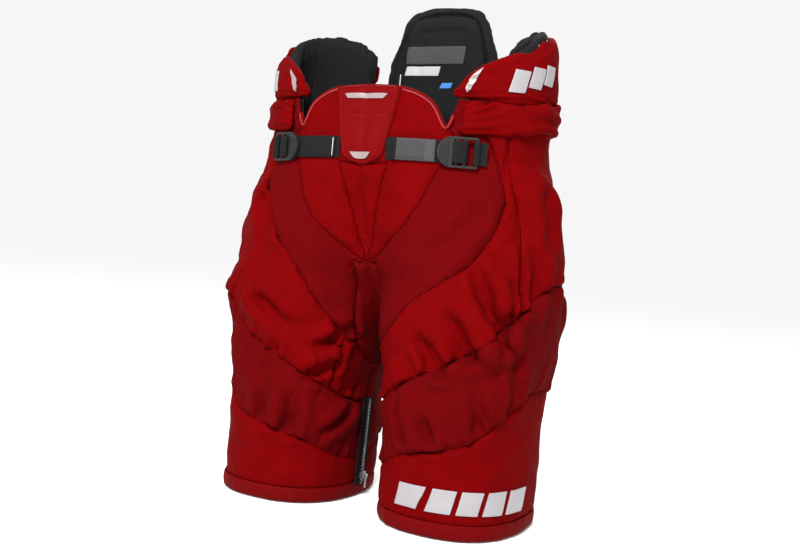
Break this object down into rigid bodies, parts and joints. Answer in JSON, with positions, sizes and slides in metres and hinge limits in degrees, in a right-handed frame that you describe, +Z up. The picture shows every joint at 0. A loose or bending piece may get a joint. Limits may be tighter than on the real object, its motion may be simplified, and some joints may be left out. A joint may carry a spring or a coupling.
{
  "type": "hockey pants",
  "caption": "Padded ice hockey pants: girdle with hip and spine pads, belt with ladder-lock buckles, front crest, and two padded knee-length legs with inner zips.",
  "frame": {"origin": "Middle of the base: between the two hems, on the surface the pants stand on.", "axes": "+Z up toward the waist, +X to the wearer's left, -Y to the wearer's front. The overall shape is symmetric about the YZ plane; the left hem badge and the colour of the belt tails are not."},
  "size_m": [0.4236, 0.2344, 0.638],
  "materials": {
    "red_nylon": "matt woven nylon",
    "red_mesh": "open-pored mesh",
    "red_binding": "matt binding tape",
    "black_lining": "brushed knit lining",
    "foam": "closed-cell foam",
    "plastic_cap": "moulded polyethylene sheet",
    "black_webbing": "ribbed webbing",
    "grey_webbing": "ribbed webbing",
    "buckle_plastic": "satin moulded plastic",
    "crest_red": "satin moulded plate",
    "silver_trim": "reflective film",
    "zip_metal": "black painted"
  },
  "bodies": {
    "girdle": {"front_panel": "red_nylon", "fly_panel": "red_nylon", "crest_plate": "crest_red", "crest_tabs": "silver_trim", "left_groin_mesh": "red_mesh", "right_groin_mesh": "red_mesh", "left_hip_panel": "red_nylon", "right_hip_panel": "red_nylon", "seat_panel": "red_nylon", "crotch_gusset": "red_binding", "girdle_liner": "black_lining", "left_side_pad": "foam", "right_side_pad": "foam", "tailbone_pad": "foam", "left_hip_band": "red_nylon", "right_hip_band": "red_nylon", "left_belt_strap": "black_webbing", "right_belt_strap": "black_webbing", "left_belt_tail": "grey_webbing", "right_belt_tail": "black_webbing", "left_buckle_loop": "black_webbing", "right_buckle_loop": "black_webbing"},
    "left_leg": {"left_hem_binding": "red_binding", "left_hem_guard": "red_nylon", "left_lower_mesh": "red_mesh", "left_thigh_panel": "red_nylon", "left_back_panel": "red_nylon", "left_leg_liner": "black_lining", "left_thigh_pad": "foam", "left_thigh_cap": "plastic_cap", "left_zip_tape": "black_webbing", "left_leg_badge": "silver_trim"},
    "right_leg": {"right_hem_binding": "red_binding", "right_hem_guard": "red_nylon", "right_lower_mesh": "red_mesh", "right_thigh_panel": "red_nylon", "right_back_panel": "red_nylon", "right_leg_liner": "black_lining", "right_thigh_pad": "foam", "right_thigh_cap": "plastic_cap", "right_zip_tape": "black_webbing"},
    "spine_pad": {"spine_pad": "black_lining", "spine_cap": "plastic_cap", "spine_lining": "black_lining"},
    "left_hip_pad": {"left_hip_pad": "red_nylon", "left_hip_cap": "plastic_cap", "left_hip_lining": "black_lining", "left_hip_badge": "silver_trim", "left_hip_tab": "silver_trim"},
    "left_buckle": {"left_buckle": "buckle_plastic"},
    "left_zip_slider": {"left_zip_slider": "zip_metal"},
    "left_zip_pull": {"left_zip_pull": "zip_metal"},
    "right_hip_pad": {"right_hip_pad": "red_nylon", "right_hip_cap": "plastic_cap", "right_hip_lining": "black_lining", "right_hip_badge": "silver_trim", "right_hip_tab": "silver_trim"},
    "right_buckle": {"right_buckle": "buckle_plastic"},
    "right_zip_slider": {"right_zip_slider": "zip_metal"},
    "right_zip_pull": {"right_zip_pull": "zip_metal"}
  },
  "joints": [
    {"name": "left_leg_swing", "type": "hinge", "parent": "girdle", "child": "left_leg", "pos_m": [0, 0, 0.36], "axis": [-1, 0, 0], "range_deg": [-15, 30]},
    {"name": "left_hip_pad_flex", "type": "hinge", "parent": "girdle", "child": "left_hip_pad", "pos_m": [0.178, 0, 0.48], "axis": [0, 1, 0], "range_deg": [0, 12], "stiffness_Nm_per_rad": 1.5},
    {"name": "left_buckle_tilt", "type": "hinge", "parent": "girdle", "child": "left_buckle", "pos_m": [0.1318, -0.0858, 0.424], "axis": [0, 0, 1], "range_deg": [0, 50]},
    {"name": "left_zip_slide", "type": "slide", "parent": "left_leg", "child": "left_zip_slider", "axis": [-0.0231, 0, 0.9997], "range_m": [0, 0.09]},
    {"name": "left_zip_pull_swing", "type": "hinge", "parent": "left_zip_slider", "child": "left_zip_pull", "pos_m": [0.01588, 0, 0.0268], "axis": [0, 1, 0], "range_deg": [0, 60]},
    {"name": "right_leg_swing", "type": "hinge", "parent": "girdle", "child": "right_leg", "pos_m": [0, 0, 0.36], "axis": [-1, 0, 0], "range_deg": [-15, 30]},
    {"name": "right_hip_pad_flex", "type": "hinge", "parent": "girdle", "child": "right_hip_pad", "pos_m": [-0.178, 0, 0.48], "axis": [0, -1, 0], "range_deg": [0, 12], "stiffness_Nm_per_rad": 1.5},
    {"name": "right_buckle_tilt", "type": "hinge", "parent": "girdle", "child": "right_buckle", "pos_m": [-0.1318, -0.0858, 0.424], "axis": [0, 0, -1], "range_deg": [0, 50]},
    {"name": "right_zip_slide", "type": "slide", "parent": "right_leg", "child": "right_zip_slider", "axis": [0.0231, 0, 0.9997], "range_m": [0, 0.09]},
    {"name": "right_zip_pull_swing", "type": "hinge", "parent": "right_zip_slider", "child": "right_zip_pull", "pos_m": [-0.01588, 0, 0.0268], "axis": [0, -1, 0], "range_deg": [0, 60]},
    {"name": "spine_pad_flex", "type": "hinge", "parent": "girdle", "child": "spine_pad", "pos_m": [0, 0.104, 0.48], "axis": [-1, 0, 0], "range_deg": [0, 20], "stiffness_Nm_per_rad": 1.5}
  ]
}
